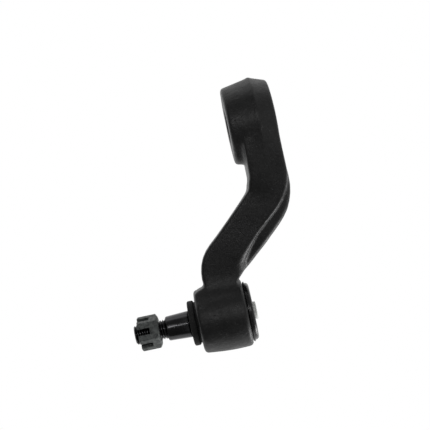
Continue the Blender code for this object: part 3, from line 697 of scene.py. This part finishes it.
def ramp_colour(tree, shader, value, low, high, dark, light):
    ramp = tree.nodes.new("ShaderNodeValToRGB")
    ramp.color_ramp.elements[0].position = low
    ramp.color_ramp.elements[0].color = (*dark, 1.0)
    ramp.color_ramp.elements[1].position = high
    ramp.color_ramp.elements[1].color = (*light, 1.0)
    tree.links.new(value, ramp.inputs["Fac"])
    tree.links.new(ramp.outputs["Color"], shader.inputs["Base Color"])


def bump(tree, shader, layers):
    """Adds bump layers, each a height value and its depth in metres, one on the other."""
    before = None
    for height, depth in layers:
        made = tree.nodes.new("ShaderNodeBump")
        made.inputs["Strength"].default_value = 1.0
        made.inputs["Distance"].default_value = depth
        tree.links.new(height, made.inputs["Height"])
        if before:
            tree.links.new(before, made.inputs["Normal"])
        before = made.outputs["Normal"]
    tree.links.new(before, shader.inputs["Normal"])


def shown_where(tree, seen, lit, white, output):
    """Gives the output the white shader where seen is 1, and the lit one elsewhere."""
    mix = tree.nodes.new("ShaderNodeMixShader")
    tree.links.new(seen, mix.inputs["Fac"])
    tree.links.new(lit, mix.inputs[1])
    tree.links.new(white, mix.inputs[2])
    tree.links.new(mix.outputs["Shader"], tree.nodes[output].inputs["Surface"])


# Materials


def forging_paint():
    """Black paint over a forged skin, even and ringed by the tool where the eye's ends are faced."""
    material, tree, shader = shader_of("forging_paint", (0.007, 0.007, 0.0072), 0.46, specular=0.43)
    fine = noise_node(tree, 1500, 2.0)
    coarse = noise_node(tree, 260, 4.0)
    blotch = noise_node(tree, 75, 4.0, 0.6)
    scale = noise_node(tree, 190, 6.0, 0.7)
    pits = ranged(tree, noise_node(tree, 420, 2.0, 0.5), 0.62, 0.74, 0.0, -1.0)
    ramp_colour(tree, shader, scale, 0.36, 0.72, (0.0046, 0.0046, 0.0048), (0.0100, 0.0102, 0.0104))
    tree.links.new(ranged(tree, blotch, 0.3, 0.7, 0.38, 0.54), shader.inputs["Roughness"])

    place = tree.nodes.new("ShaderNodeSeparateXYZ")
    tree.links.new(object_place(tree), place.inputs["Vector"])
    x, y, z = place.outputs
    squares = combined(tree, "ADD", combined(tree, "MULTIPLY", x, x), combined(tree, "MULTIPLY", y, y))
    from_axis = combined(tree, "POWER", squares, 0.5)
    from_middle = combined(tree, "SUBTRACT", z, EYE_HEIGHT / 2)
    from_middle = combined(tree, "ABSOLUTE", from_middle, 0.0)
    end = EYE_HEIGHT / 2 - FACED_DEPTH
    on_end = ranged(tree, from_middle, end, end + FACED_DEPTH_BAND, 0.0, 1.0)
    in_eye = ranged(tree, from_axis, FACED_RADIUS - FACED_RADIUS_BAND, FACED_RADIUS, 1.0, 0.0)
    faced = combined(tree, "MULTIPLY", on_end, in_eye)
    as_forged = combined(tree, "SUBTRACT", 1.0, faced)
    rings = combined(tree, "SINE", combined(tree, "MULTIPLY", from_axis, math.tau / TOOL_FEED), 0.0)

    skin = [(blotch, 0.3 * mm), (coarse, 0.3 * mm), (pits, 0.12 * mm), (fine, 0.06 * mm)]
    layers = [(combined(tree, "MULTIPLY", height, as_forged), depth) for height, depth in skin]
    layers.append((combined(tree, "MULTIPLY", rings, faced), 0.006 * mm))
    bump(tree, shader, layers)
    return material


def gloss_paint():
    material, tree, shader = shader_of("cover_paint", (0.010, 0.010, 0.0105), 0.24)
    blotch = noise_node(tree, 70, 3.0)
    fine = noise_node(tree, 600, 3.0)
    ramp_colour(tree, shader, blotch, 0.3, 0.7, (0.004, 0.004, 0.0043), (0.007, 0.007, 0.0073))
    tree.links.new(ranged(tree, fine, 0.3, 0.7, 0.20, 0.30), shader.inputs["Roughness"])
    bump(tree, shader, [(fine, 0.05 * mm)])
    return material


def stud_finish():
    """Blackened steel, ground round its axis: the ground marks are noise pressed flat along Z."""
    material, tree, shader = shader_of("stud_finish", (0.05, 0.05, 0.052), 0.2, metallic=1.0)
    blotch = noise_node(tree, 90, 3.0)
    stretch = tree.nodes.new("ShaderNodeMapping")
    stretch.inputs["Scale"].default_value = (1.0, 1.0, 40.0)
    tree.links.new(object_place(tree), stretch.inputs["Vector"])
    ground = tree.nodes.new("ShaderNodeTexNoise")
    ground.inputs["Scale"].default_value = 60.0
    tree.links.new(stretch.outputs["Vector"], ground.inputs["Vector"])
    ramp_colour(tree, shader, blotch, 0.3, 0.7, (0.042, 0.042, 0.044), (0.060, 0.060, 0.062))
    tree.links.new(ranged(tree, blotch, 0.3, 0.7, 0.17, 0.22), shader.inputs["Roughness"])
    bump(tree, shader, [(ground.outputs["Fac"], 0.0015 * mm)])
    return material


def nut_phosphate():
    material, tree, shader = shader_of("nut_phosphate", (0.06, 0.066, 0.064), 0.62, metallic=0.25)
    crystals = noise_node(tree, 1800, 3.0, 0.7)
    blotch = noise_node(tree, 420, 5.0, 0.7)
    ramp_colour(tree, shader, blotch, 0.36, 0.66, (0.032, 0.036, 0.035), (0.15, 0.16, 0.156))
    tree.links.new(ranged(tree, crystals, 0.3, 0.7, 0.5, 0.72), shader.inputs["Roughness"])
    bump(tree, shader, [(blotch, 0.25 * mm), (crystals, 0.07 * mm)])
    return material


def seal_rubber():
    material, tree, shader = shader_of("seal_rubber", (0.011, 0.011, 0.011), 0.7, specular=0.3)
    fine = noise_node(tree, 900, 3.0)
    blotch = noise_node(tree, 120, 4.0)
    ramp_colour(tree, shader, blotch, 0.3, 0.75, (0.008, 0.008, 0.008), (0.016, 0.016, 0.016))
    tree.links.new(ranged(tree, blotch, 0.3, 0.7, 0.62, 0.8), shader.inputs["Roughness"])
    bump(tree, shader, [(fine, 0.05 * mm)])
    return material


def plug_plastic():
    material, tree, shader = shader_of("plug_plastic", (0.72, 0.745, 0.71), 0.38)
    blotch = noise_node(tree, 220, 4.0)
    ramp_colour(tree, shader, blotch, 0.3, 0.7, (0.78, 0.80, 0.77), (0.88, 0.90, 0.87))
    tree.links.new(ranged(tree, blotch, 0.3, 0.7, 0.32, 0.46), shader.inputs["Roughness"])
    bump(tree, shader, [(blotch, 0.05 * mm)])
    return material


def inner_metal(name, dark, light, metallic, roughness):
    material, tree, shader = shader_of(name, light, roughness, metallic)
    grain = noise_node(tree, 900, 4.0, 0.65)
    ramp_colour(tree, shader, grain, 0.3, 0.7, dark, light)
    rough = ranged(tree, grain, 0.3, 0.7, roughness - 0.07, roughness + 0.07)
    tree.links.new(rough, shader.inputs["Roughness"])
    bump(tree, shader, [(grain, 0.03 * mm)])
    return material


def dress_inner_pieces():
    """The bearing, seat and spring keep their CAD shapes and get their own metals."""
    finishes = {
        "half_ball_bearing": inner_metal("bearing_sinter", (0.16, 0.13, 0.09), (0.28, 0.23, 0.17), 0.8, 0.5),
        "pressure_seat": inner_metal("seat_steel", (0.38, 0.38, 0.39), (0.5, 0.5, 0.51), 1.0, 0.32),
        "preload_spring": inner_metal("spring_steel", (0.3, 0.3, 0.32), (0.44, 0.44, 0.46), 1.0, 0.3),
    }
    for node, finish in finishes.items():
        NODES[node].data.materials.clear()
        NODES[node].data.materials.append(finish)


# Camera, stage and light, as the photograph has them


def photo_camera():
    """Looks at the arm's near side, square to it, rolled so that the arm hangs and the stud points left."""
    data = bpy.data.cameras.new("photo_camera")
    camera = add_object("photo_camera", data)
    data.sensor_width = SENSOR
    data.lens = SENSOR * VIEW_DISTANCE / (PHOTO_WIDTH * MM_PER_PIXEL * mm)
    right = Vector((math.sin(IMAGE_TILT), 0, -math.cos(IMAGE_TILT)))
    up = Vector((-math.cos(IMAGE_TILT), 0, -math.sin(IMAGE_TILT)))
    back = right.cross(up)
    turn = Matrix((right, up, back)).transposed().to_4x4()
    camera.matrix_world = Matrix.Translation(IMAGE_CENTRE + back * VIEW_DISTANCE) @ turn
    bpy.context.scene.camera = camera
    return right, up, back


def area_light(name, place, size, power, target):
    data = bpy.data.lights.new(name, "AREA")
    data.shape = "RECTANGLE"
    data.size, data.size_y = size
    data.energy = power
    lamp = add_object(name, data)
    lamp.location = place
    lamp.rotation_euler = (target - place).to_track_quat("-Z", "Y").to_euler()


def seen_white(tree, behind):
    """1 for camera rays, and for glossy and transmitted rays that look behind the arm; 0 for all others."""
    rays = tree.nodes.new("ShaderNodeLightPath").outputs
    mirrored = combined(tree, "MAXIMUM", rays["Is Glossy Ray"], rays["Is Transmission Ray"])
    return combined(tree, "MAXIMUM", rays["Is Camera Ray"], combined(tree, "MULTIPLY", mirrored, behind))


def white_floor():
    """A wide pale floor well below the arm, plain white where the camera or a reflection sees it."""
    mesh = bpy.data.meshes.new("floor")
    bm = bmesh.new()
    bmesh.ops.create_grid(bm, x_segments=1, y_segments=1, size=FLOOR_SIZE)
    bm.to_mesh(mesh)
    bm.free()
    floor = add_object("floor", mesh)
    floor.location = (0, 0, ARM_LOW.z - FLOOR_DROP)
    material, tree, shader = shader_of("floor_white", (FLOOR_COLOUR, FLOOR_COLOUR, FLOOR_COLOUR), 0.9)
    white = tree.nodes.new("ShaderNodeEmission")
    white.inputs["Color"].default_value = (1, 1, 1, 1)
    white.inputs["Strength"].default_value = 1.0
    across = tree.nodes.new("ShaderNodeSeparateXYZ")
    tree.links.new(object_place(tree), across.inputs["Vector"])
    behind = ranged(tree, across.outputs["Y"], FLOOR_BEHIND, FLOOR_IN_FRONT, 1.0, 0.0)
    shown_where(tree, seen_white(tree, behind), shader.outputs["BSDF"], white.outputs["Emission"],
                "Material Output")
    floor.data.materials.append(material)


def studio_world(back, up):
    """White wherever the camera looks past the arm. As light, bright behind the arm and dim before it."""
    world = bpy.data.worlds.new("studio")
    bpy.context.scene.world = world
    world.use_nodes = True
    tree = world.node_tree
    white = tree.nodes["Background"]
    white.inputs["Color"].default_value = (1, 1, 1, 1)
    white.inputs["Strength"].default_value = 1.0
    light = tree.nodes.new("ShaderNodeBackground")
    light.inputs["Color"].default_value = (1, 1, 1, 1)
    place = tree.nodes.new("ShaderNodeTexCoord")

    def along(axis):
        dot = tree.nodes.new("ShaderNodeVectorMath")
        dot.operation = "DOT_PRODUCT"
        dot.inputs[1].default_value = axis
        tree.links.new(place.outputs["Generated"], dot.inputs[0])
        return dot.outputs["Value"]

    near_side = ranged(tree, along(back), BEHIND, IN_FRONT, BACK_LIGHT, FRONT_LIGHT)
    overhead = ranged(tree, along(up), OVERHEAD, 1.0, 0.0, TOP_LIGHT)
    tree.links.new(combined(tree, "ADD", near_side, overhead), light.inputs["Strength"])
    behind = ranged(tree, along(back), BEHIND, 0.0, 1.0, 0.0)
    shown_where(tree, seen_white(tree, behind), light.outputs["Background"], white.outputs["Background"],
                "World Output")


def stage_and_light():
    right, up, back = photo_camera()
    white_floor()
    studio_world(back, up)
    for name, (steps, size, power) in LAMPS.items():
        place = IMAGE_CENTRE + right * steps[0] + up * steps[1] + back * steps[2]
        area_light(name, place, size, power, IMAGE_CENTRE)
    bpy.context.scene.view_settings.view_transform = "Standard"


def main():
    paint = forging_paint()
    gloss = gloss_paint()
    finish = stud_finish()
    forging(paint)
    rolled_lip(gloss)
    cover_plate(gloss)
    grease_hole_plug(plug_plastic())
    stud(finish)
    stud_thread(finish)
    castle_nut(nut_phosphate())
    dust_seal(seal_rubber())
    dress_inner_pieces()
    stage_and_light()


main()
